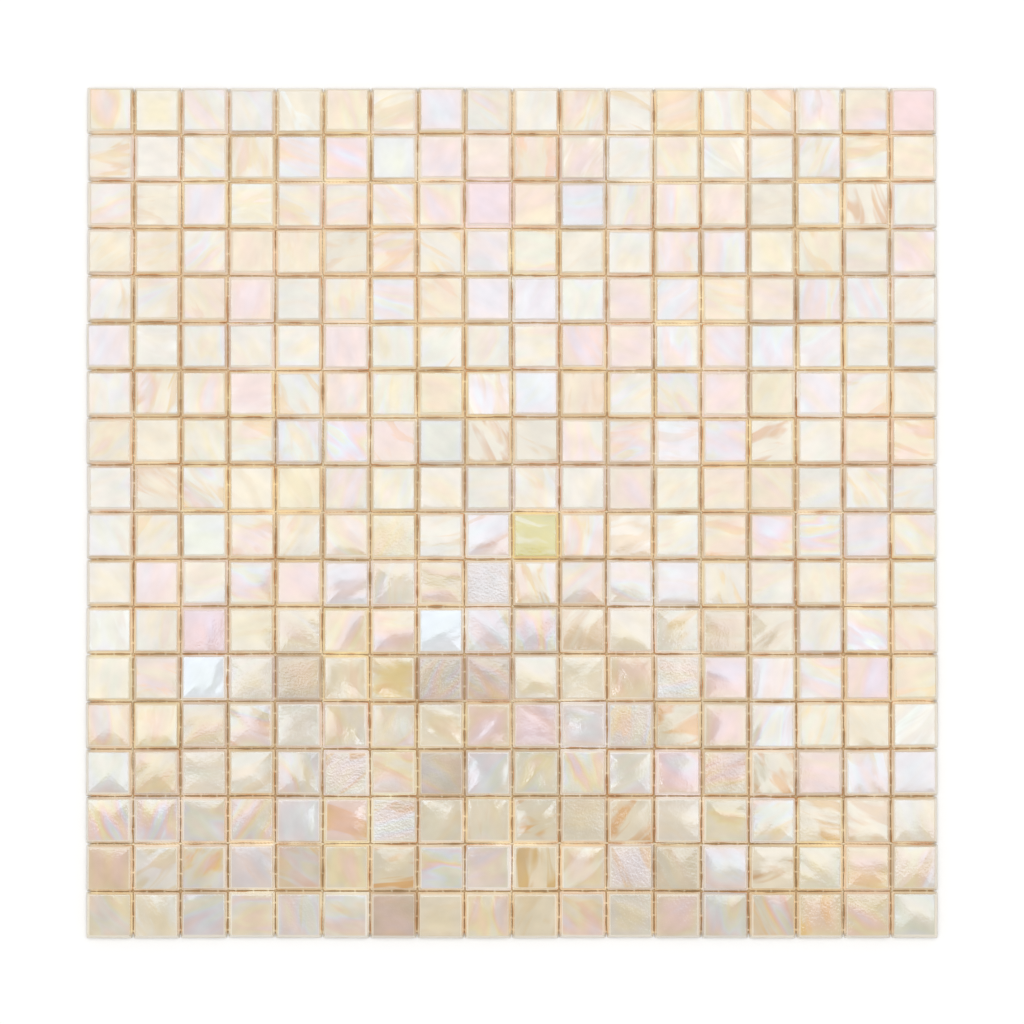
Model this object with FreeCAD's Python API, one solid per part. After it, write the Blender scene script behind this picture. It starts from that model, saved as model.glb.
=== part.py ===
"""Mosaic tile sheet: pressed glass tiles laid face up on a glass fibre net.

Millimetres. The origin is the middle of the net's underside, +Z is up through the
tiles' faces, +X runs along a row and +Y from the last row towards the first.
"""

import FreeCAD, Part
import math
import os
import random

# The sheet's grid of tiles
rows = 18
columns = 18
joint = 0.35  # clear width between two tiles at their backs, before the laying scatter

# One pressed tile, wider at its back than at its face
tile_back = 16.05
tile_thickness = 4.0
corner_cut = 0.25  # what the rounded upright corners lose on each side
side_draft = 0.8  # how far each side leans in on its way up to the arris
arris_width = 0.45  # the fire-rounded edge of the face, seen from above
arris_height = 0.5

# The net that the tile backs are glued to: two layers of flat yarns
yarn_width = 0.8
yarn_thickness = 0.2
weft_spacing = 5.0  # between yarns that run along the rows
warp_spacing = 6.0  # between yarns that run across the rows
net_margin = 1.2  # the net is trimmed this far inside the tiles' outer edge

# The unevenness of tiles laid by hand, each a share of the joint so that none touch
shift_share = 0.28  # a tile's own slip along X and along Y
turn_share = 0.12  # how far a tile's turn carries the end of its side
drift_share = 0.3  # slow wander of the rows and columns
drift_period = 7.5  # tiles in one wave of that wander
laying_seed = 18

same_point = 1e-6  # points nearer than this are one point

pitch = tile_back + joint
sheet_length = columns * pitch - joint
sheet_width = rows * pitch - joint
weft_bottom = yarn_thickness
tile_bottom = weft_bottom + yarn_thickness


def square_outline(half, cut, z):
    """Square at height z, anticlockwise from +X, with two points at each corner, cut back by the cut."""
    near = half - cut
    quarter = [(half, -near), (half, near)]
    points = []
    for _ in range(4):
        points += [FreeCAD.Vector(x, y, z) for x, y in quarter]
        quarter = [(-y, x) for x, y in quarter]
    return points


def flat_face(points):
    """Flat face through the points in turn, where a sharp corner's two points count as one."""
    following = points[1:] + points[:1]
    corners = [point for point, after in zip(points, following) if not point.isEqual(after, same_point)]
    return Part.Face(Part.makePolygon([*corners, corners[0]]))


def walls_between(lower, upper):
    """The flat walls that join two outlines, side by side and corner by corner."""
    next_lower = lower[1:] + lower[:1]
    next_upper = upper[1:] + upper[:1]
    return [flat_face(list(wall)) for wall in zip(lower, next_lower, next_upper, upper)]


def pressed_tile():
    """One glass tile, back down: drafted sides with cut corners, then the arris up to a square face."""
    half_back = tile_back / 2
    half_shoulder = half_back - side_draft
    half_face = half_shoulder - arris_width
    face_level = tile_bottom + tile_thickness
    back = square_outline(half_back, corner_cut, tile_bottom)
    shoulder = square_outline(half_shoulder, corner_cut, face_level - arris_height)
    face = square_outline(half_face, 0, face_level)
    walls = walls_between(back, shoulder) + walls_between(shoulder, face)
    return Part.Solid(Part.makeShell([flat_face(back), flat_face(face), *walls]))


def laying_places():
    """Every tile's place as (x, y, turn in degrees), row by row from +Y, with the scatter of hand laying."""
    hand = random.Random(laying_seed)
    slip = shift_share * joint
    turn = math.degrees(math.atan(turn_share * joint / (tile_back / 2)))
    drift = drift_share * joint
    wave = 2 * math.pi / drift_period
    places = []
    for row in range(rows):
        line = []
        for column in range(columns):
            x = (column - (columns - 1) / 2) * pitch
            y = ((rows - 1) / 2 - row) * pitch
            x += drift * math.sin(wave * (row + 0.3 * column)) + hand.uniform(-slip, slip)
            y += drift * math.cos(wave * (column - 0.2 * row)) + hand.uniform(-slip, slip)
            line.append((x, y, hand.uniform(-turn, turn)))
        places.append(line)
    return places


def tile_row(tile, places):
    """One row of tiles as separate solids."""
    laid = []
    for x, y, turn in places:
        copy = tile.copy()
        copy.rotate(FreeCAD.Vector(0, 0, 0), FreeCAD.Vector(0, 0, 1), turn)
        copy.translate(FreeCAD.Vector(x, y, 0))
        laid.append(copy)
    return Part.makeCompound(laid)


def yarn_offsets(span, spacing):
    """Centre lines of evenly spaced yarns across a span, one of them on its middle."""
    each_side = int((span / 2 - net_margin - yarn_width / 2) / spacing)
    return [step * spacing for step in range(-each_side, each_side + 1)]


def weft_yarns():
    """The yarns along the rows, in the net's upper layer, which the tile backs rest on."""
    length = sheet_length - 2 * net_margin
    yarns = []
    for y in yarn_offsets(sheet_width, weft_spacing):
        corner = FreeCAD.Vector(-length / 2, y - yarn_width / 2, weft_bottom)
        yarns.append(Part.makeBox(length, yarn_width, yarn_thickness, corner))
    return Part.makeCompound(yarns)


def warp_yarns():
    """The yarns across the rows, in the net's lower layer, which the sheet lies on."""
    length = sheet_width - 2 * net_margin
    yarns = []
    for x in yarn_offsets(sheet_length, warp_spacing):
        corner = FreeCAD.Vector(x - yarn_width / 2, -length / 2, 0)
        yarns.append(Part.makeBox(yarn_width, length, yarn_thickness, corner))
    return Part.makeCompound(yarns)


def sheet_nodes():
    """Every node of the sheet by name."""
    tile = pressed_tile()
    nodes = {f"tile_row_{row + 1:02d}": tile_row(tile, line) for row, line in enumerate(laying_places())}
    nodes["net_weft_yarns"] = weft_yarns()
    nodes["net_warp_yarns"] = warp_yarns()
    return nodes


os.makedirs("parts", exist_ok=True)
for name, shape in sheet_nodes().items():
    shape.exportStep(f"parts/{name}.step")
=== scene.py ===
"""Looks of the mosaic tile sheet: pressed opal glass tiles with a pearly film, on a glass fibre net.

Metres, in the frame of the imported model. Sizes given in millimetres are turned by MM. Each row of
tiles and each layer of yarns replaces its own node, and lies where the node lies.
"""

import collections
import math

import bpy
import numpy as np
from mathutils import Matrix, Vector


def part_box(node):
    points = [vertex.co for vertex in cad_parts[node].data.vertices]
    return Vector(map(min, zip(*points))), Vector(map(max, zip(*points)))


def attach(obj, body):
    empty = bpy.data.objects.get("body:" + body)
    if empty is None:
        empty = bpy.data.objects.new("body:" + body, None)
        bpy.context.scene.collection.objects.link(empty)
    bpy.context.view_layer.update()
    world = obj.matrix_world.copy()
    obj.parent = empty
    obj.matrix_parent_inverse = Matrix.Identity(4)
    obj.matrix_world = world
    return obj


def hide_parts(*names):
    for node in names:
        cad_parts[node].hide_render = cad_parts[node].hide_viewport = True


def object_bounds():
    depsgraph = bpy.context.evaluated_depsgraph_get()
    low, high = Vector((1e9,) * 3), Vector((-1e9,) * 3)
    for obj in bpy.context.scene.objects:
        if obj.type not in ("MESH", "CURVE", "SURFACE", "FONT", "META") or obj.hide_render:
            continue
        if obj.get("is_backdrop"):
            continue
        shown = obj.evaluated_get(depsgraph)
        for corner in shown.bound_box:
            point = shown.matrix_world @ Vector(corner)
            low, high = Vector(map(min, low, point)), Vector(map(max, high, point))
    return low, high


MM = 0.001

# The grid, counted as in the photo: row 1 at the top, column 1 at the left
ROWS = 18
COLUMNS = 18

# The pressed tile's finer shape
CORNER_ANGLES = (0, 45, 90)  # degrees, with a point of each corner's arc at each
POINTS_AROUND = 4 * (len(CORNER_ANGLES) + 1)  # the four arcs and the middles of the sides
ARRIS_ANGLES = (30, 60, 90)  # degrees up the fire-rounded edge, with a ring at each
FACE_RINGS = (0.985, 0.6, 0.3)  # half widths of the face's own rings, as shares of the face's
FOOT_ROUND = 0.05 * MM
FACE_CORNER_SHARE = 0.6  # the corners' radius at the face, as a share of that at the foot
CROWN = 0.05 * MM  # how far the middle of the face stands over its rim
TILT = 0.04 * MM  # usual rise of a side of the face, where the face leans
MOST_TILT = 1.6 * TILT
FACE_SHIFT = 0.26 * MM  # most that the face lies off the middle of its tile
SIDE_BOW = 0.06 * MM  # most that a side bulges or draws in at the face
FOOT_BITE = 0.10 * MM  # most that the foot falls short of its outline

# The net's finer shape
YARN_SIDES = 8
YARN_STEP = 2.5 * MM  # between two sections along a yarn
YARN_KINK = 0.10 * MM  # most that one section lies off the yarn's line
YARN_SWAY = 0.45 * MM  # how far the slow waves carry it
YARN_WAVES = (1.5, 3.5)  # fewest and most of those waves in a yarn
YARN_WIDTHS = (0.85, 1.0)  # least and most width, as shares of the node's

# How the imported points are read: those nearer than this in height are on one level, and numbers
# alike to so many decimals of a metre are one
SAME_LEVEL = 0.01 * MM
POINT_DECIMALS = 7
LEVEL_DECIMALS = 6

# Where the random draws start
TILE_SEED = 1807
NET_SEED = 58

# The camera looks down on the sheet, leaning a little towards the last row
CAMERA_DISTANCE = 2.0
CAMERA_LEAN = 1.4  # degrees
CAMERA_REACH = 50.0  # how far it sees
PHOTO_PIXELS = 1024
SHEET_PIXELS = 852  # the sheet's width in the photo
SENSOR = 36.0  # millimetres

# The studio: a matt white floor in a pale tent
FLOOR_HALF = 4.0
FLOOR_WHITE = "#f6f6f6"
# Painted amber light and shade on the floor under the sheet: darker at the last row, lighter at the first
FLOOR_PAINTED_LIGHT_AND_SHADE = ("#c9ae85", "#ecd6b2")  # under the sheet, from the last row to the first
FLOOR_INSET = (2.0 * MM, 1.0 * MM)  # the tones end between these distances inside the sheet's edge
TENT_RADIANCE = 0.8

# Panels that hang overhead and face straight down: place along X and Y, width and depth, radiance.
# The softboxes leave the place round the camera open, which the lower middle tiles mirror, and the
# windows are two small pale patches in it
PANEL_HEIGHT = 2.0
OVERHEAD_PANELS = {
    "top_softbox": ((0.0, 0.42), (1.5, 0.9), 3.25),
    "left_softbox": ((-0.45, -0.08), (0.6, 0.1), 3.25),
    "right_softbox": ((0.43, -0.11), (0.6, 0.16), 3.25),
    "left_window": ((-0.085, -0.14), (0.03, 0.06), 5.0),
    "right_window": ((0.025, -0.12), (0.025, 0.06), 6.0),
}
# Low panels that face the sheet's middle and show in the tiles from the side: place, width and
# depth, radiance
LOW_PANELS = {
    "low_back_softbox": ((-1.45, 1.60, 1.05), (0.36, 0.16), 1.8),
    "low_front_softbox": ((1.70, -1.58, 0.64), (0.36, 0.12), 1.5),
}

# What the thin metal oxide film on the faces goes through as it thickens, and then again
FILM_TINTS = (
    (0.00, "#d2c6b1"), (0.15, "#d8c68a"), (0.30, "#dab58b"), (0.45, "#dbb1a8"),
    (0.60, "#cfb8c4"), (0.74, "#c6cad2"), (0.87, "#cacdb2"), (1.00, "#d2c6b1"),
)

# Each kind of tile: its glass, the streaks in it and their dose, then the film's place among its
# tints, how far it wanders over a tile and its share, and how hammered the face is
Kind = collections.namedtuple("Kind", "glass streak streak_dose film_place film_wander film_share hammer")
KINDS = {
    "cream": Kind("#cfc3b3", "#d0ad74", 0.5, 0.06, 0.20, 0.42, 0.12),
    "straw": Kind("#d0c3a7", "#d0ac68", 0.4, 0.17, 0.18, 0.46, 0.12),
    "peach": Kind("#cfbda4", "#cda06c", 0.5, 0.28, 0.20, 0.42, 0.12),
    "blush": Kind("#cfc2b4", "#d3b08a", 0.4, 0.44, 0.20, 0.50, 0.08),
    "pearl": Kind("#cec9bf", "#d2b488", 0.4, 0.68, 0.20, 0.44, 0.08),
    "mint": Kind("#ccc4b3", "#d2cfbc", 0.4, 0.90, 0.18, 0.44, 0.08),
    "rose": Kind("#cfbcb6", "#d3b08a", 0.2, 0.50, 0.10, 0.62, 0.08),
    "honey": Kind("#d1c3a9", "#c28f50", 1.2, 0.12, 0.10, 0.20, 0.12),
    "rainbow": Kind("#cdc5b5", "#cfab6c", 0.6, 0.50, 0.28, 0.66, 0.12),
    "smoke": Kind("#b3a18f", "#c9b392", 1.0, 0.30, 0.30, 0.30, 0.5),
    "hammered": Kind("#cbc5bb", "#d2b890", 0.5, 0.60, 0.20, 0.35, 1.3),
    "white": Kind("#d6dada", "#cfd2d3", 0.1, 0.74, 0.05, 0.20, 0.03),
    "citron": Kind("#bfb142", "#cdc372", 0.5, 0.13, 0.10, 0.24, 0.4),
}

# Shares of the kinds that any place may have; the other kinds lie only in places of their own
SHARES = {
    "cream": 0.39, "straw": 0.18, "peach": 0.15, "blush": 0.10, "pearl": 0.07, "mint": 0.03,
    "honey": 0.06, "rainbow": 0.02,
}

# Tiles that stand out in the photo, by kind, as (row, column)
STANDOUTS = {
    "citron": [(10, 10)],
    "white": [(12, 8), (13, 3)],
    "smoke": [(13, 9), (13, 8), (15, 8), (18, 7), (13, 5)],
    "rainbow": [
        (2, 6), (3, 14), (14, 10), (15, 11), (16, 2), (12, 10), (16, 1), (14, 9), (10, 15), (10, 16),
        (11, 4), (6, 14), (4, 18), (13, 14), (14, 14),
    ],
    "honey": [
        (3, 17), (4, 11), (9, 2), (18, 10), (18, 2), (15, 15), (17, 15), (13, 11), (16, 17), (14, 17),
        (17, 2), (16, 8), (16, 9), (16, 10), (16, 12), (17, 7), (17, 10), (12, 15), (14, 8), (14, 13),
        (17, 13), (18, 8),
    ],
    "blush": [(5, 12), (11, 5), (3, 8), (7, 14), (16, 6)],
    "peach": [(1, 15), (14, 3), (18, 16), (18, 17)],
    "rose": [(12, 3), (1, 18), (3, 9), (15, 13), (13, 17)],
    "pearl": [
        (3, 11), (4, 9), (5, 9), (14, 11), (17, 9), (8, 5), (11, 12), (5, 10), (15, 9), (5, 13),
        (17, 14), (16, 15), (13, 15), (15, 18), (18, 3), (16, 5),
    ],
    "straw": [(9, 7), (15, 7), (4, 15), (12, 6), (10, 6), (16, 14)],
    "mint": [(8, 8), (15, 1), (10, 3), (5, 17)],
    "hammered": [(14, 12), (16, 7), (17, 12), (15, 6), (18, 5), (11, 9), (13, 13)],
}

# How tiles of one kind differ in colour. Lightness has a least, a most usual and a most
GOLD_STREAK = "#cda666"
MILK_STREAK = "#d8d6ce"
STREAK_ODDS = (0.55, 0.35, 0.1)  # of the kind's own streak, a gold one and a milky one
LIGHTNESS = (0.84, 1.04, 1.06)

# How the film differs: gamma draws have a shape and a scale
FILM_PLACE_SPREAD = 0.05
FILM_WANDER_GAMMA = (2.0, 0.92)
MOST_FILM_WANDER = 2.8
FILM_SHARES = (0.7, 1.1)
RIM_THINNING = (0.0, 0.25)  # how far the film falls back among its tints at the rim

# How the film lies on every tile
FILM_RIPPLE = 0.3  # how much of its wander goes with the streaks
WHOLE_CYCLES = 2.0  # added to its thickness, which so stays above zero
RIM_COVERING = (1.15, 0.75)  # times its share: well inside the face, and at the rim
RIM_SHARPNESS = 3.0  # the power that keeps what happens at the rim near it

# How the streaks and the hammering differ
LEAST_STREAKS = 0.1
STREAK_GAMMA = (1.4, 0.7)
STREAK_POWER = 1.5
HAMMER_DOSES = (0.5, 2.0)
STRUCK_HARD = 0.15  # share of the tiles that are hammered harder
HARD_STRIKE = 3.5
MOST_HAMMER = 4.0

# The bare glass: pale at the arris, partly its own pale tone and partly a painted highlight. Down the
# side it is the tile's own glass, made lighter with painted light, with a drawn share of painted gold
# light in it, and at the foot one of two ambers: painted amber light and shade for the light that comes
# through the glass into the joints
PALE_AND_HIGHLIGHT_TINT = "#e3dac8"
SIDE_PAINTED_GOLD_LIGHT = "#f3e0b4"
SIDE_PAINTED_LIGHTENING = (1.42, 1.46, 1.70, 1.0)
PAINTED_GOLD_SHARE = (0.0, 0.75)
SIDE_LIGHTNESS = (0.85, 1.08)
MOST_SIDE_LIGHT = 0.9
FOOT_PAINTED_AMBER_LIGHT = ("#b18b55", "#c48440")

# Patterns in the glass, as waves per millimetre along the grain, across it and up
STREAK_WAVES = (0.05, 0.15, 0.2)  # 7 mm across and 20 mm long, with finer ones in them
SWELL_WAVES = (0.035, 0.11, 0.1)  # 9 mm across: the film's thickness and the face's slow swell
CLOUD_WAVES = (0.10, 0.14, 0.0)  # 7 mm across: the glass's lightness
CLIMB_WAVES = (0.11, 0.11, 0.0)  # 9 mm: how high the amber climbs
WARMTH_WAVES = (0.03, 0.03, 0.0)  # 33 mm: which of the ambers it is
DIMPLE_WAVES = 1.3  # 0.8 mm: the hammering
GRAIN_REACH = 500  # a tile may lie anywhere in so many millimetres of the patterns

# Values of a noise: those that nearly all of it lies between, and those over which a streak, the
# amber's climb or its warmer tone comes in
NOISE_SPREAD = (0.3, 0.7)
STREAK_EDGE = (0.50, 0.61)
CLIMB_EDGE = (0.35, 0.65)
WARMTH_EDGE = (0.4, 0.6)
CLOUD_LIGHTNESS = (0.92, 1.08)  # what a cloud makes of the glass's lightness

# Heights in the glass, in millimetres over the floor, between which one look turns into the next
BACK_ENDS = (0.41, 0.44)
PAINTED_AMBER_ENDS = (0.4, 1.2)
PAINTED_AMBER_SHIFT = (-0.8, 1.2)  # added to the height, so that the amber ends higher or lower in places
PALE_TOWARDS_ARRIS = (2.4, 3.9)
GLOW_FADES = (1.4, 3.2)

# How pale the glass is at the arris, where the pale is partly its own tone and partly a painted
# highlight, and on a side in the open. A side comes into the open between these distances inside the
# sheet's edge
ARRIS_PALENESS_AND_HIGHLIGHT = 0.55
OPEN_PALENESS = 0.8
OPEN_SIDE = (2.4 * MM, 1.0 * MM)

# Painted glow, emission that stands in for the light that comes through the glass: how strongly it
# leaves the bare glass, how much of that is left near the face, and how strongly it leaves the yarns
PAINTED_GLASS_GLOW = 0.38
GLOW_NEAR_FACE = 0.24
PAINTED_YARN_GLOW = 0.12

# Roughness of the face from dimple to dimple, and of the bare glass. One turns into the other over
# these shares of film
POLISH = (0.03, 0.08)
BARE_ROUGHNESS = 0.35
FILM_EDGE = (0.6, 1.0)

# Depths of the face's relief in the bump
DIMPLE_DEPTH = 0.05 * MM
SWELL_DEPTH = 0.10 * MM

# The yarn's colours with painted shade and painted light: darker and warm for the shade and amber
# light it gets under the glass, shaded and lit along the twist; and its twist
YARN_PAINTED_SHADE = "#cfc2a3"
YARN_PAINTED_LIGHT = "#ded2b6"
TWIST_SCALE = 0.5
TWIST_DEPTH = 0.03 * MM


def linear(code):
    """An sRGB hex colour as linear red, green, blue and alpha."""
    parts = [int(code[i:i + 2], 16) / 255 for i in (1, 3, 5)]
    return [p / 12.92 if p <= 0.04045 else ((p + 0.055) / 1.055) ** 2.4 for p in parts] + [1.0]


def add(tree, kind, inputs=(), output=None, **settings):
    """Adds a node with its settings and links, and gives its first output in use, or the named one.
    The inputs go by name, or in the order of the sockets in use. Each is a value, or a socket to link
    from."""
    node = tree.nodes.new("ShaderNode" + kind)
    for name, value in settings.items():
        setattr(node, name, value)
    if isinstance(inputs, dict):
        pairs = [(node.inputs[name], value) for name, value in inputs.items()]
    else:
        pairs = zip([socket for socket in node.inputs if socket.enabled], inputs)
    for socket, value in pairs:
        if isinstance(value, bpy.types.NodeSocket):
            tree.links.new(value, socket)
        else:
            socket.default_value = value
    return node.outputs[output] if output else next(socket for socket in node.outputs if socket.enabled)


def new_material(name):
    """A node material with its tree and its shader, ready for links."""
    material = bpy.data.materials.new(name)
    material.use_nodes = True
    tree = material.node_tree
    return material, tree, tree.nodes["Principled BSDF"]


def tile_kinds(draw):
    """The kind of every tile: drawn by the shares, then the standouts set in their places."""
    names = list(SHARES)
    weights = np.array([SHARES[name] for name in names])
    kinds = draw.choice(names, size=(ROWS, COLUMNS), p=weights / weights.sum()).astype(object)
    for name, places in STANDOUTS.items():
        for row, column in places:
            kinds[row - 1, column - 1] = name
    return kinds


def node_points(node):
    """The node's mesh points as an array."""
    mesh = bpy.data.objects[node].data
    points = np.empty(len(mesh.vertices) * 3)
    mesh.vertices.foreach_get("co", points)
    return points.reshape(-1, 3)


def laid_tiles(node):
    """The middle and turn of each tile in a row, from the four corners of its flat face."""
    points = node_points(node)
    face = points[points[:, 2] > points[:, 2].max() - SAME_LEVEL]
    corners = np.unique(face.round(POINT_DECIMALS), axis=0)
    corners = corners[np.argsort(corners[:, 0])].reshape(COLUMNS, 4, 3)
    middles = corners.mean(axis=1)
    arms = corners - middles[:, None]
    far = np.argmax(arms[:, :, 0] + arms[:, :, 1], axis=1)
    arm = arms[np.arange(COLUMNS), far]
    turns = np.arctan2(arm[:, 1], arm[:, 0]) - math.pi / 4
    return middles[:, :2], turns


def tile_section(node):
    """Heights and half widths of a row's first tile at its foot, shoulder and face, and how far its
    corners are cut."""
    points = node_points(node)
    middles, turns = laid_tiles(node)
    half_pitch = (middles[1, 0] - middles[0, 0]) / 2
    tile = points[np.abs(points[:, 0] - middles[0, 0]) < half_pitch]
    offset = tile[:, :2] - middles[0]
    cosine, sine = math.cos(turns[0]), math.sin(turns[0])
    across = offset[:, 0] * cosine + offset[:, 1] * sine
    along = offset[:, 1] * cosine - offset[:, 0] * sine
    levels = np.unique(tile[:, 2].round(LEVEL_DECIMALS))
    halves = [across[np.abs(tile[:, 2] - level) < SAME_LEVEL].max() for level in levels]
    at_foot = np.abs(tile[:, 2] - levels[0]) < SAME_LEVEL
    on_side = across > halves[0] - SAME_LEVEL
    return levels, halves, halves[0] - along[at_foot & on_side].max()


def rounded_square(half, radius):
    """Points round a square: at each corner an arc, which is (cos, sin) of the angle times the radius
    from a middle that lies the radius inside both sides, and then the middle of the next side."""
    arc = np.radians(CORNER_ANGLES)
    x = np.append(half - radius + radius * np.cos(arc), 0.0)
    y = np.append(half - radius + radius * np.sin(arc), half)
    return np.concatenate([np.stack(quarter, axis=1) for quarter in ((x, y), (-y, x), (-x, -y), (y, -x))])


# A ring of a tile: half width, corner radius, height, how far it goes with the face (0 up to the
# shoulder, 1 on the face), its share of film, and how near it lies to the face's rim
Ring = collections.namedtuple("Ring", "half radius height lift film rim")


def tile_rings(levels, halves, cut):
    """The rings of one tile from its back up over the arris to the face. The arris is a quarter of an
    oval, (cos, sin) of the angle times its width and height. The face rises to its middle with the
    square of the distance. A corner's radius is its cut over 2 minus root 2, so that the arc touches
    the middle of the flat cut."""
    foot, shoulder, face = levels
    foot_half, shoulder_half, face_half = halves
    radius = cut / (2 - math.sqrt(2))
    rings = [
        Ring(foot_half - FOOT_ROUND, radius, foot, 0.0, 0.0, 1.0),
        Ring(foot_half, radius, foot + FOOT_ROUND, 0.0, 0.0, 1.0),
        Ring(shoulder_half, radius, shoulder, 0.0, 0.0, 1.0),
    ]
    for degrees in ARRIS_ANGLES:
        angle = math.radians(degrees)
        share = degrees / 90
        half = face_half + (shoulder_half - face_half) * math.cos(angle)
        corner = radius * (1 - (1 - FACE_CORNER_SHARE) * share)
        height = shoulder + (face - shoulder - CROWN) * math.sin(angle)
        rings.append(Ring(half, corner, height, share, share ** 2, 1.0))
    for share in FACE_RINGS:
        corner = radius * FACE_CORNER_SHARE * share
        rings.append(Ring(face_half * share, corner, face - CROWN * share ** 2, 1.0, 1.0, share))
    return rings


def tile_forms(rings, levels, halves, draw):
    """The points of a row's tiles, each round its own middle: the stack of rings, then the middle of
    the face. A ring is its outline, plus a drawn shift and a drawn bow times how far it goes with the
    face and how far out on the face it lies, less a drawn bite times how far it goes with the foot.
    Its height adds a drawn lean times the distance from the middle in half widths, up to the most
    tilt."""
    face_half = halves[2]
    outlines = np.stack([rounded_square(ring.half, ring.radius) for ring in rings])
    heights = np.array([ring.height for ring in rings])
    lift = np.array([ring.lift for ring in rings])[None, :, None, None]
    outward = outlines / np.linalg.norm(outlines, axis=2, keepdims=True)
    reach = np.minimum(np.abs(outlines).max(axis=(1, 2), keepdims=True) / face_half, 1.0)
    shift = draw.uniform(-FACE_SHIFT, FACE_SHIFT, (COLUMNS, 1, 1, 2))
    bow = draw.uniform(-SIDE_BOW, SIDE_BOW, (COLUMNS, 1, POINTS_AROUND, 1))
    bite = draw.uniform(0, FOOT_BITE, (COLUMNS, 1, POINTS_AROUND, 1))
    lean = draw.normal(0, TILT, (COLUMNS, 1, 1, 2))
    flat = outlines + lift * (shift + bow * outward) * reach - (1 - lift) * bite * outward
    rise = (flat / face_half * lean).sum(axis=3) * lift[..., 0]
    z = heights[None, :, None] + np.clip(rise, -MOST_TILT, MOST_TILT)
    stack = np.concatenate([flat, z[..., None]], axis=3).reshape(COLUMNS, -1, 3)
    top = np.concatenate([shift[:, 0], np.full((COLUMNS, 1, 1), levels[2])], axis=2)
    return np.concatenate([stack, top], axis=1)


def set_in_place(local, node):
    """The tiles turned about their own middles and carried to where the node's tiles lie."""
    middles, turns = laid_tiles(node)
    cosine, sine = np.cos(turns)[:, None], np.sin(turns)[:, None]
    placed = local.copy()
    placed[..., 0] = middles[:, :1] + local[..., 0] * cosine - local[..., 1] * sine
    placed[..., 1] = middles[:, 1:] + local[..., 0] * sine + local[..., 1] * cosine
    return placed


def tile_faces(ring_count, per_tile):
    """The faces of a row's tiles: bands from ring to ring, a fan that closes the face, and one flat
    face for the back."""
    point = np.arange(POINTS_AROUND)
    following = (point + 1) % POINTS_AROUND
    ring = np.arange(ring_count - 1)[:, None] * POINTS_AROUND
    above = ring + POINTS_AROUND
    corners = (ring + point, ring + following, above + following, above + point)
    bands = np.stack(corners, axis=2).reshape(-1, 4)
    last = (ring_count - 1) * POINTS_AROUND
    fan = np.stack([last + point, last + following, np.full(POINTS_AROUND, per_tile - 1)], axis=1)
    back = point[::-1]
    faces = []
    for start in np.arange(COLUMNS) * per_tile:
        faces += (bands + start).tolist() + (fan + start).tolist() + [(back + start).tolist()]
    return faces


def tile_row_mesh(name, node, section, looks, draw):
    """All tiles of a row as one mesh, with what the material reads."""
    levels, halves, cut = section
    rings = tile_rings(levels, halves, cut)
    local = tile_forms(rings, levels, halves, draw)
    placed = set_in_place(local, node)
    mesh = bpy.data.meshes.new(name)
    mesh.from_pydata(placed.reshape(-1, 3), [], tile_faces(len(rings), local.shape[1]))
    mesh.shade_smooth()
    paint_row(mesh, rings, local, looks, draw)
    return mesh


def paint_row(mesh, rings, local, looks, draw):
    """Stores what the material reads: the film's share, the nearness to the rim, the place in the
    glass's own grain (its third number is the height in millimetres), and each tile's looks. The
    grain is the tile's X and Y turned by an angle and moved to a place in the pattern, both drawn."""
    per_tile = local.shape[1]
    cover = np.append(np.repeat([ring.film for ring in rings], POINTS_AROUND), 1.0)
    rim = np.append(np.repeat([ring.rim for ring in rings], POINTS_AROUND), 0.0)
    angle = draw.uniform(0, math.pi, (COLUMNS, 1))
    origin = draw.uniform(0, GRAIN_REACH, (COLUMNS, 1, 3)) * (1, 1, 0)
    x, y, z = np.moveaxis(local / MM, 2, 0)
    along = x * np.cos(angle) + y * np.sin(angle)
    across = y * np.cos(angle) - x * np.sin(angle)
    store(mesh, "grain", "FLOAT_VECTOR", np.stack([along, across, z], axis=2) + origin)
    store(mesh, "cover", "FLOAT", np.tile(cover, COLUMNS))
    store(mesh, "rim", "FLOAT", np.tile(rim, COLUMNS))
    for key in ("glass", "streak", "side"):
        store(mesh, key, "FLOAT_COLOR", np.repeat(looks[key], per_tile, axis=0))
    for key in ("film", "dose"):
        store(mesh, key, "FLOAT_VECTOR", np.repeat(looks[key], per_tile, axis=0))


def store(mesh, name, kind, values):
    """Puts an array into a point attribute."""
    field = {"FLOAT": "value", "FLOAT_VECTOR": "vector", "FLOAT_COLOR": "color"}[kind]
    attribute = mesh.attributes.new(name, kind, "POINT")
    attribute.data.foreach_set(field, np.asarray(values, dtype=np.float32).ravel())


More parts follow.
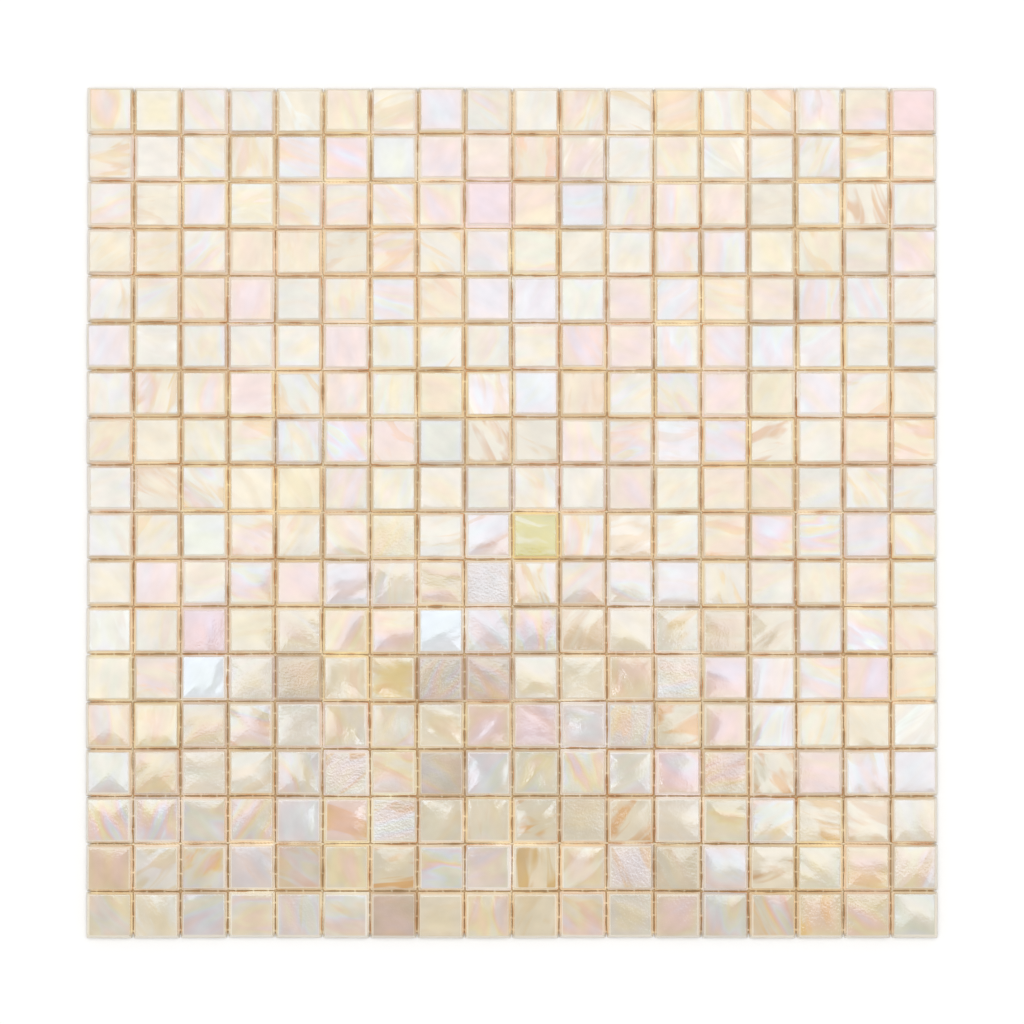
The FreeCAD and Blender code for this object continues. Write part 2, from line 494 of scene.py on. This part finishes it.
def row_looks(names, draw):
    """Colours and doses of a row's tiles: the kind's own, each tile drawn a little off it. The film
    has its place, wander and share; the doses are of streaks, of hammering and of the film's fall at
    the rim."""
    count = len(names)
    kinds = [KINDS[name] for name in names]
    codes = [draw.choice((kind.streak, GOLD_STREAK, MILK_STREAK), p=STREAK_ODDS) for kind in kinds]
    looks = {
        "glass": np.array([linear(kind.glass) for kind in kinds]),
        "streak": np.array([linear(code) for code in codes]),
    }
    for colours in looks.values():
        colours[:, :3] *= draw.triangular(*LIGHTNESS, (count, 1))
    # The side's colour: the glass made lighter with painted light, with painted gold light mixed in
    painted_gold = draw.uniform(*PAINTED_GOLD_SHARE, (count, 1))
    bare = looks["glass"] * SIDE_PAINTED_LIGHTENING * (1 - painted_gold) + np.array(linear(SIDE_PAINTED_GOLD_LIGHT)) * painted_gold
    looks["side"] = np.minimum(bare * draw.uniform(*SIDE_LIGHTNESS, (count, 1)), MOST_SIDE_LIGHT)

    film = np.array([(kind.film_place, kind.film_wander, kind.film_share) for kind in kinds])
    film[:, 0] += draw.normal(0, FILM_PLACE_SPREAD, count)
    film[:, 1] *= np.minimum(draw.gamma(*FILM_WANDER_GAMMA, count), MOST_FILM_WANDER)
    film[:, 2] *= draw.uniform(*FILM_SHARES, count)
    looks["film"] = film

    streaks, hammer = np.array([(kind.streak_dose, kind.hammer) for kind in kinds]).T
    streaks *= LEAST_STREAKS + draw.gamma(*STREAK_GAMMA, count) ** STREAK_POWER
    hammer *= draw.uniform(*HAMMER_DOSES, count)
    hammer *= np.where(draw.random(count) < STRUCK_HARD, HARD_STRIKE, 1.0)
    thinning = draw.uniform(*RIM_THINNING, count)
    looks["dose"] = np.stack([np.minimum(streaks, 1.0), np.minimum(hammer, MOST_HAMMER), thinning], axis=1)
    return looks


def stretched_noise(tree, grain, waves, **inputs):
    """Noise drawn out along the glass's grain: the place in the grain times the waves per millimetre."""
    laid = add(tree, "VectorMath", [grain, waves], operation="MULTIPLY")
    by_name = {name.title(): value for name, value in inputs.items()}
    return add(tree, "TexNoise", {"Vector": laid, "Scale": 1.0, **by_name})


def from_middle(tree):
    """How far a point lies from the sheet's middle, along X or along Y, whichever is more."""
    place = add(tree, "TexCoord", output="Object")
    x, y, _ = add(tree, "SeparateXYZ", [place]).node.outputs
    off_x = add(tree, "Math", [x], operation="ABSOLUTE")
    off_y = add(tree, "Math", [y], operation="ABSOLUTE")
    return add(tree, "Math", [off_x, off_y], operation="MAXIMUM")


def stirred_melts(tree, flow, streaks):
    """Two melts not quite stirred together: soft streaks 2 to 5 mm wide, bent along the grain."""
    own = add(tree, "Attribute", output="Color", attribute_name="glass")
    streak = add(tree, "Attribute", output="Color", attribute_name="streak")
    edge = add(tree, "MapRange", [flow, *STREAK_EDGE])
    share = add(tree, "Math", [edge, streaks], operation="MULTIPLY")
    return add(tree, "Mix", [share, own, streak], data_type="RGBA")


def film_tint(tree, thickness):
    """The film's colour, which goes through all its tints each time that the thickness grows by one."""
    lifted = add(tree, "Math", [thickness, WHOLE_CYCLES], operation="ADD")
    cycle = add(tree, "Math", [lifted], operation="FRACT")
    tint = add(tree, "ValToRGB", [cycle])
    elements = tint.node.color_ramp.elements
    for stop, _ in FILM_TINTS[1:-1]:
        elements.new(stop)
    for element, (_, code) in zip(elements, FILM_TINTS):
        element.color = linear(code)
    return tint


def filmed_face(tree, grain, glass, flow, swell, thinning):
    """The face: glass under a film whose thickness wanders over the tile, and which falls off and
    covers less at the rim. Soft clouds in the glass make it lighter and darker."""
    film = add(tree, "Attribute", output="Vector", attribute_name="film")
    rim = add(tree, "Attribute", output="Fac", attribute_name="rim")
    place, wander, share = add(tree, "SeparateXYZ", [film]).node.outputs
    swelling = add(tree, "MapRange", [swell, *NOISE_SPREAD, -1.0, 1.0])
    ripple = add(tree, "MapRange", [flow, *NOISE_SPREAD, -FILM_RIPPLE, FILM_RIPPLE])
    wandering = add(tree, "Math", [swelling, ripple], operation="ADD")
    thickness = add(tree, "Math", [wandering, wander, place], operation="MULTIPLY_ADD")
    near_rim = add(tree, "Math", [rim, RIM_SHARPNESS], operation="POWER")
    fall = add(tree, "Math", [near_rim, thinning], operation="MULTIPLY")
    thinned = add(tree, "Math", [thickness, fall], operation="SUBTRACT")
    rim_share = add(tree, "MapRange", [near_rim, 0.0, 1.0, *RIM_COVERING])
    covering = add(tree, "Math", [share, rim_share], operation="MULTIPLY")
    filmed = add(tree, "Mix", [covering, glass, film_tint(tree, thinned)], data_type="RGBA")
    cloud = stretched_noise(tree, grain, CLOUD_WAVES, detail=2.0, roughness=0.5)
    lightness = add(tree, "MapRange", [cloud, *NOISE_SPREAD, *CLOUD_LIGHTNESS])
    return add(tree, "VectorMath", [filmed, lightness], operation="SCALE")


def bare_side(tree, grain, height, open_side):
    """The bare glass by height: painted amber light and shade at the foot, for the light that comes
    through the glass into the joints, warmer in some places and higher in some; then the tile's own
    side, made lighter with painted light and gold, and the pale arris, partly a painted highlight.
    Sides that stand in the open look pale too."""
    # Painted amber light and shade at the foot, for the light that comes through the glass into the joints
    warmth = stretched_noise(tree, grain, WARMTH_WAVES, detail=0.0)
    warm = add(tree, "MapRange", [warmth, *WARMTH_EDGE])
    foot = add(tree, "Mix", [warm, *[linear(code) for code in FOOT_PAINTED_AMBER_LIGHT]], data_type="RGBA")
    climb = stretched_noise(tree, grain, CLIMB_WAVES, detail=2.0, roughness=0.6)
    shift = add(tree, "MapRange", [climb, *CLIMB_EDGE, *PAINTED_AMBER_SHIFT])
    shifted = add(tree, "Math", [height, shift], operation="ADD")
    over_amber = add(tree, "MapRange", [shifted, *PAINTED_AMBER_ENDS])
    own = add(tree, "Attribute", output="Color", attribute_name="side")
    side = add(tree, "Mix", [over_amber, foot, own], data_type="RGBA")
    # Towards the arris the pale tint comes in: partly the glass's own pale tone, partly a painted
    # highlight
    near_arris = add(tree, "MapRange", [height, *PALE_TOWARDS_ARRIS, 0.0, ARRIS_PALENESS_AND_HIGHLIGHT])
    paleness = add(tree, "Math", [near_arris, open_side], operation="MAXIMUM")
    return add(tree, "Mix", [paleness, side, linear(PALE_AND_HIGHLIGHT_TINT)], data_type="RGBA")


def painted_joint_glow(tree, height, cover, open_side, back):
    """How strongly the bare sides glow: a painted glow, emission that stands in for the light that went
    in at the face and leaves by the sides. Most of all deep in the joints, and little or none on sides
    in the open and on the back."""
    deep = add(tree, "MapRange", [height, *GLOW_FADES, 1.0, GLOW_NEAR_FACE])
    uncovered = add(tree, "Math", [1.0, cover], operation="SUBTRACT")
    shine = add(tree, "Math", [deep, uncovered], operation="MULTIPLY")
    unlit = add(tree, "Math", [open_side, back], operation="MAXIMUM")
    enclosed = add(tree, "Math", [1.0, unlit], operation="SUBTRACT")
    return add(tree, "Math", [shine, enclosed], operation="MULTIPLY")


def fire_polish(tree, shader, grain, cover, swell, hammer):
    """Fire polish over a hammered mould: dimples about 0.8 mm wide on a slow swell, a little less
    smooth from dimple to dimple, and duller on the bare sides."""
    dimple = add(tree, "TexNoise", {"Vector": grain, "Scale": DIMPLE_WAVES, "Detail": 2.0})
    hammering = add(tree, "Math", [dimple, hammer], operation="MULTIPLY")
    hammered = add(tree, "Bump", {"Height": hammering, "Distance": DIMPLE_DEPTH, "Strength": 1.0})
    relief = {"Height": swell, "Distance": SWELL_DEPTH, "Strength": 1.0, "Normal": hammered}
    tree.links.new(add(tree, "Bump", relief), shader.inputs["Normal"])
    polish = add(tree, "MapRange", [dimple, *NOISE_SPREAD, *POLISH])
    dullness = add(tree, "MapRange", [cover, *FILM_EDGE, BARE_ROUGHNESS, POLISH[0]])
    roughness = add(tree, "Math", [polish, dullness], operation="MAXIMUM")
    tree.links.new(roughness, shader.inputs["Roughness"])


def pressed_opal_glass():
    """Pressed opal glass, fire polished, with a sprayed metal oxide film on the face: glossy, softly
    hammered and pastel where the film lies. The bare sides carry painted amber light and shade, and a
    painted glow, emission that stands in for the light that shines through the glass. The back is
    plain glass."""
    material, tree, shader = new_material("pressed_opal_glass")
    grain = add(tree, "Attribute", output="Vector", attribute_name="grain")
    cover = add(tree, "Attribute", output="Fac", attribute_name="cover")
    dose = add(tree, "Attribute", output="Vector", attribute_name="dose")
    streaks, hammer, thinning = add(tree, "SeparateXYZ", [dose]).node.outputs
    height = add(tree, "SeparateXYZ", [grain], output="Z")
    flow = stretched_noise(tree, grain, STREAK_WAVES, detail=2.0, roughness=0.5, distortion=0.9)
    swell = stretched_noise(tree, grain, SWELL_WAVES, detail=1.0, distortion=0.4)

    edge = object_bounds()[1].x
    open_band = [edge - inset for inset in OPEN_SIDE]
    open_side = add(tree, "MapRange", [from_middle(tree), *open_band, 0.0, OPEN_PALENESS])
    back = add(tree, "MapRange", [height, *BACK_ENDS, 1.0, 0.0])
    glass = stirred_melts(tree, flow, streaks)
    face = filmed_face(tree, grain, glass, flow, swell, thinning)
    side = bare_side(tree, grain, height, open_side)
    bare = add(tree, "Mix", [back, side, glass], data_type="RGBA")
    colour = add(tree, "Mix", [cover, bare, face], data_type="RGBA")
    tree.links.new(colour, shader.inputs["Base Color"])

    # Painted glow: emission on the bare sides, standing in for the light that comes through the glass
    glow = painted_joint_glow(tree, height, cover, open_side, back)
    shining = add(tree, "Mix", [glow, linear("#000000"), bare], data_type="RGBA")
    tree.links.new(shining, shader.inputs["Emission Color"])
    shader.inputs["Emission Strength"].default_value = PAINTED_GLASS_GLOW

    fire_polish(tree, shader, grain, cover, swell, hammer)
    # The oxide film mirrors more than plain glass does, and a little more of the blue
    shader.inputs["IOR"].default_value = 1.8
    shader.inputs["Specular Tint"].default_value = linear("#e3f0ff")
    return material


def glass_fibre_yarn():
    """Off-white glass fibre yarn, softly twisted and dipped in resin, with a dull sheen. Its colour is
    toned warm and darker with painted shade and painted amber light, lighter and darker along the
    twist, and it has a faint painted glow, emission that stands in for the light that comes to it
    through the glass."""
    material, tree, shader = new_material("glass_fibre_yarn")
    lay = add(tree, "Attribute", output="Vector", attribute_name="lay")
    # Twist lines slant across the yarn. Scale times 10 over 2 pi is their number in a millimetre
    # along it, which sets them 1.3 mm apart
    waves = {"Vector": lay, "Scale": TWIST_SCALE, "Distortion": 1.5, "Detail": 1.0}
    twist = add(tree, "TexWave", waves, output="Fac", bands_direction="DIAGONAL")
    # Painted light and shade along the twist: lighter on its ridges, darker in its grooves
    twist_painted_light = add(tree, "MapRange", [twist, 0.0, 1.0], interpolation_type="SMOOTHSTEP")
    colour = add(tree, "Mix", [twist_painted_light, linear(YARN_PAINTED_SHADE), linear(YARN_PAINTED_LIGHT)], data_type="RGBA")
    tree.links.new(colour, shader.inputs["Base Color"])
    tree.links.new(colour, shader.inputs["Emission Color"])
    shader.inputs["Emission Strength"].default_value = PAINTED_YARN_GLOW
    bump = add(tree, "Bump", {"Height": twist, "Distance": TWIST_DEPTH})
    tree.links.new(bump, shader.inputs["Normal"])
    shader.inputs["Roughness"].default_value = 0.45
    return material


def yarn_lines(node, axis):
    """Middles of a layer's yarns along the given axis, and the width of one, from their two edges."""
    edges = np.unique(node_points(node)[:, axis].round(LEVEL_DECIMALS))
    return edges.reshape(-1, 2).mean(axis=1), edges[1] - edges[0]


def yarn_faces(count, stations, axis):
    """The faces of a layer of yarns: bands from section to section and a flat face at each end, all
    facing outwards."""
    index = np.arange(count * stations * YARN_SIDES).reshape(count, stations, YARN_SIDES)
    following = np.roll(index, -1, axis=2)
    corners = (index[:, :-1], following[:, :-1], following[:, 1:], index[:, 1:])
    bands = np.stack(corners, axis=3).reshape(-1, 4)
    first, last = index[:, 0, ::-1], index[:, -1]
    if axis == 0:
        bands, first, last = bands[:, ::-1], first[:, ::-1], last[:, ::-1]
    return bands.tolist() + first.tolist() + last.tolist()


def yarn_layer_mesh(name, node, axis, draw):
    """A layer of yarns. Each is a flat oval carried along its run: (cos, sin) of the angle times half
    the width, which swells and narrows, and half the thickness. Its middle sways sideways with the
    sine of a few slow waves, and has small kinks."""
    low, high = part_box(node)
    lines, width = yarn_lines(node, axis)
    run = 1 - axis
    count = len(lines)
    stations = int((high[run] - low[run]) / YARN_STEP)
    kinks = draw.uniform(-YARN_KINK, YARN_KINK, (count, stations))
    kinks[:, 1:-1] = (kinks[:, :-2] + kinks[:, 1:-1] + kinks[:, 2:]) / 3
    waves = 2 * math.pi * draw.uniform(*YARN_WAVES, (count, 1)) * np.linspace(0, 1, stations)
    sway = YARN_SWAY * np.sin(waves + draw.uniform(0, 2 * math.pi, (count, 1)))
    middle = (lines[:, None] + (kinks + sway))[..., None]
    half_wide = width / 2 * draw.uniform(*YARN_WIDTHS, (count, stations))[..., None]
    half_thick = (high[2] - low[2]) / 2
    angle = np.linspace(0, 2 * math.pi, YARN_SIDES, endpoint=False)
    points = np.empty((count, stations, YARN_SIDES, 3))
    points[..., run] = np.linspace(low[run], high[run], stations)[:, None]
    points[..., axis] = middle + half_wide * np.cos(angle)
    points[..., 2] = low[2] + half_thick + half_thick * np.sin(angle)
    mesh = bpy.data.meshes.new(name)
    mesh.from_pydata(points.reshape(-1, 3), [], yarn_faces(count, stations, axis))
    mesh.shade_smooth()
    store(mesh, "lay", "FLOAT_VECTOR", points[..., [run, axis, 2]] / MM)
    return mesh


def place_piece(mesh, material, node):
    """Puts a finished mesh into the scene in place of its node."""
    mesh.materials.append(material)
    piece = bpy.data.objects.new(mesh.name, mesh)
    bpy.context.scene.collection.objects.link(piece)
    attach(piece, "root")
    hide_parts(node)


def lay_tiles():
    """Every row of tiles in its own piece."""
    draw = np.random.default_rng(TILE_SEED)
    kinds = tile_kinds(draw)
    glass = pressed_opal_glass()
    section = tile_section("tile_row_01")
    for row in range(ROWS):
        node = f"tile_row_{row + 1:02d}"
        looks = row_looks(kinds[row], draw)
        mesh = tile_row_mesh(f"glass_row_{row + 1:02d}", node, section, looks, draw)
        place_piece(mesh, glass, node)


def weave_net():
    """The two layers of the net."""
    draw = np.random.default_rng(NET_SEED)
    yarn = glass_fibre_yarn()
    for name, node, axis in (("weft_yarns", "net_weft_yarns", 1), ("warp_yarns", "net_warp_yarns", 0)):
        place_piece(yarn_layer_mesh(name, node, axis, draw), yarn, node)


def studio_floor():
    """A plain matt white floor. Under the sheet it is painted amber and darker: painted light and shade
    for the light that comes to it through the glass and the shade under the sheet, and painted lighter
    towards the first row, as if more light reached it there."""
    material, tree, shader = new_material("studio_floor")
    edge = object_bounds()[1].x
    outside = add(tree, "MapRange", [from_middle(tree), *[edge - inset for inset in FLOOR_INSET]])
    place = add(tree, "TexCoord", output="Object")
    y = add(tree, "SeparateXYZ", [place], output="Y")
    towards_first = add(tree, "MapRange", [y, -edge, edge])
    painted_light_through = add(tree, "Mix", [towards_first, *[linear(code) for code in FLOOR_PAINTED_LIGHT_AND_SHADE]], data_type="RGBA")
    colour = add(tree, "Mix", [outside, painted_light_through, linear(FLOOR_WHITE)], data_type="RGBA")
    tree.links.new(colour, shader.inputs["Base Color"])
    shader.inputs["Roughness"].default_value = 0.9
    mesh = bpy.data.meshes.new("studio_floor")
    corners = [(x * FLOOR_HALF, y * FLOOR_HALF, 0) for x, y in ((-1, -1), (1, -1), (1, 1), (-1, 1))]
    mesh.from_pydata(corners, [], [(0, 1, 2, 3)])
    mesh.materials.append(material)
    floor = bpy.data.objects.new("studio_floor", mesh)
    bpy.context.scene.collection.objects.link(floor)
    floor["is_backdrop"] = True


def soft_panel(name, centre, size, radiance, aim):
    """A rectangular panel of the given width, depth and radiance, facing the aim. Its power is the
    radiance times pi times the area."""
    light = bpy.data.lights.new(name, "AREA")
    light.shape = "RECTANGLE"
    light.size, light.size_y = size
    light.energy = radiance * math.pi * size[0] * size[1]
    panel = bpy.data.objects.new(name, light)
    bpy.context.scene.collection.objects.link(panel)
    panel.location = centre
    direction = Vector(aim) - Vector(centre)
    panel.rotation_euler = direction.to_track_quat("-Z", "Y").to_euler()
    panel.visible_camera = False


def studio_light():
    """Three softboxes and two small windows overhead and two low softboxes, in a pale tent."""
    for name, ((x, y), size, radiance) in OVERHEAD_PANELS.items():
        soft_panel(name, (x, y, PANEL_HEIGHT), size, radiance, aim=(x, y, 0.0))
    for name, (centre, size, radiance) in LOW_PANELS.items():
        soft_panel(name, centre, size, radiance, aim=(0.0, 0.0, 0.0))
    world = bpy.data.worlds.new("pale_tent")
    world.use_nodes = True
    background = world.node_tree.nodes["Background"]
    background.inputs["Color"].default_value = linear("#ffffff")
    background.inputs["Strength"].default_value = TENT_RADIANCE
    bpy.context.scene.world = world
    bpy.context.scene.view_settings.view_transform = "Standard"


def studio_camera():
    """A long lens over the sheet's middle, set back by the lean. Its view is the sheet's width times
    the photo's pixels over the sheet's own."""
    low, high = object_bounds()
    middle = (low + high) / 2
    lean = math.radians(CAMERA_LEAN)
    view_width = (high.x - low.x) * PHOTO_PIXELS / SHEET_PIXELS
    camera = bpy.data.cameras.new("camera")
    camera.sensor_width = SENSOR
    camera.lens = SENSOR * CAMERA_DISTANCE / view_width
    camera.clip_end = CAMERA_REACH
    seat = bpy.data.objects.new("camera", camera)
    bpy.context.scene.collection.objects.link(seat)
    seat.location = middle + CAMERA_DISTANCE * Vector((0.0, -math.sin(lean), math.cos(lean)))
    seat.rotation_euler = (lean, 0.0, 0.0)
    bpy.context.scene.camera = seat


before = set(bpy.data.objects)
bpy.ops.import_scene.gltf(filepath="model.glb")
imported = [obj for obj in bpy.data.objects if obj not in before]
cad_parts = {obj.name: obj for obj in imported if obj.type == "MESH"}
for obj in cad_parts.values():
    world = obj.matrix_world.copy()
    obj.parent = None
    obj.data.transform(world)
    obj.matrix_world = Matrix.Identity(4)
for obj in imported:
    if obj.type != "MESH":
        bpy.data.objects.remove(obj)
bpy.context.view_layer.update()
studio_camera()
lay_tiles()
weave_net()
studio_floor()
studio_light()
